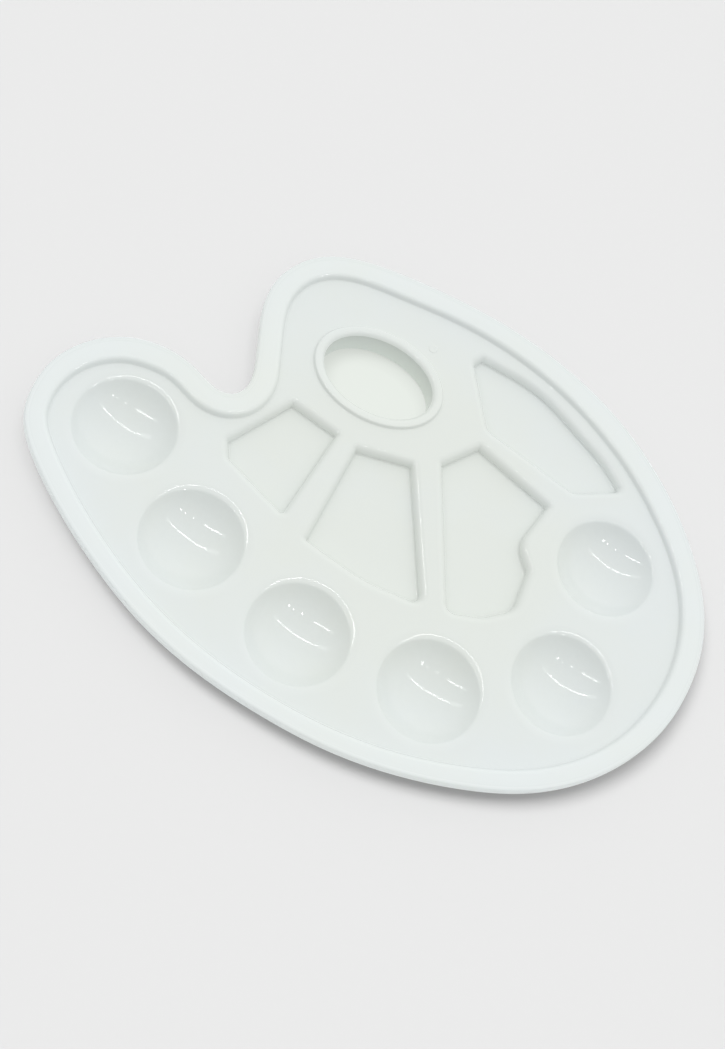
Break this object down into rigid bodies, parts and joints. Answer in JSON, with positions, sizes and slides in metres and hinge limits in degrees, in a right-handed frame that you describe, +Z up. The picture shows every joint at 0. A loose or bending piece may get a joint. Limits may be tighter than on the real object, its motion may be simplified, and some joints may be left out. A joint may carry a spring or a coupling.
{
  "type": "mixing palette",
  "caption": "Oval paint mixing palette in white plastic with round paint wells, flat mixing wells, a raised rim, a finger notch and a thumb hole.",
  "frame": {"origin": "centre of the palette's box, on the table it rests on", "axes": "+X along the palette's length, +Y towards the thumb hole side, +Z up out of the wells"},
  "size_m": [0.2296, 0.1678, 0.0117],
  "materials": {
    "white_plastic": "glossy white injection-moulded polystyrene with a faint cool tint"
  },
  "bodies": {
    "root": {"palette": "white_plastic"}
  },
  "joints": []
}
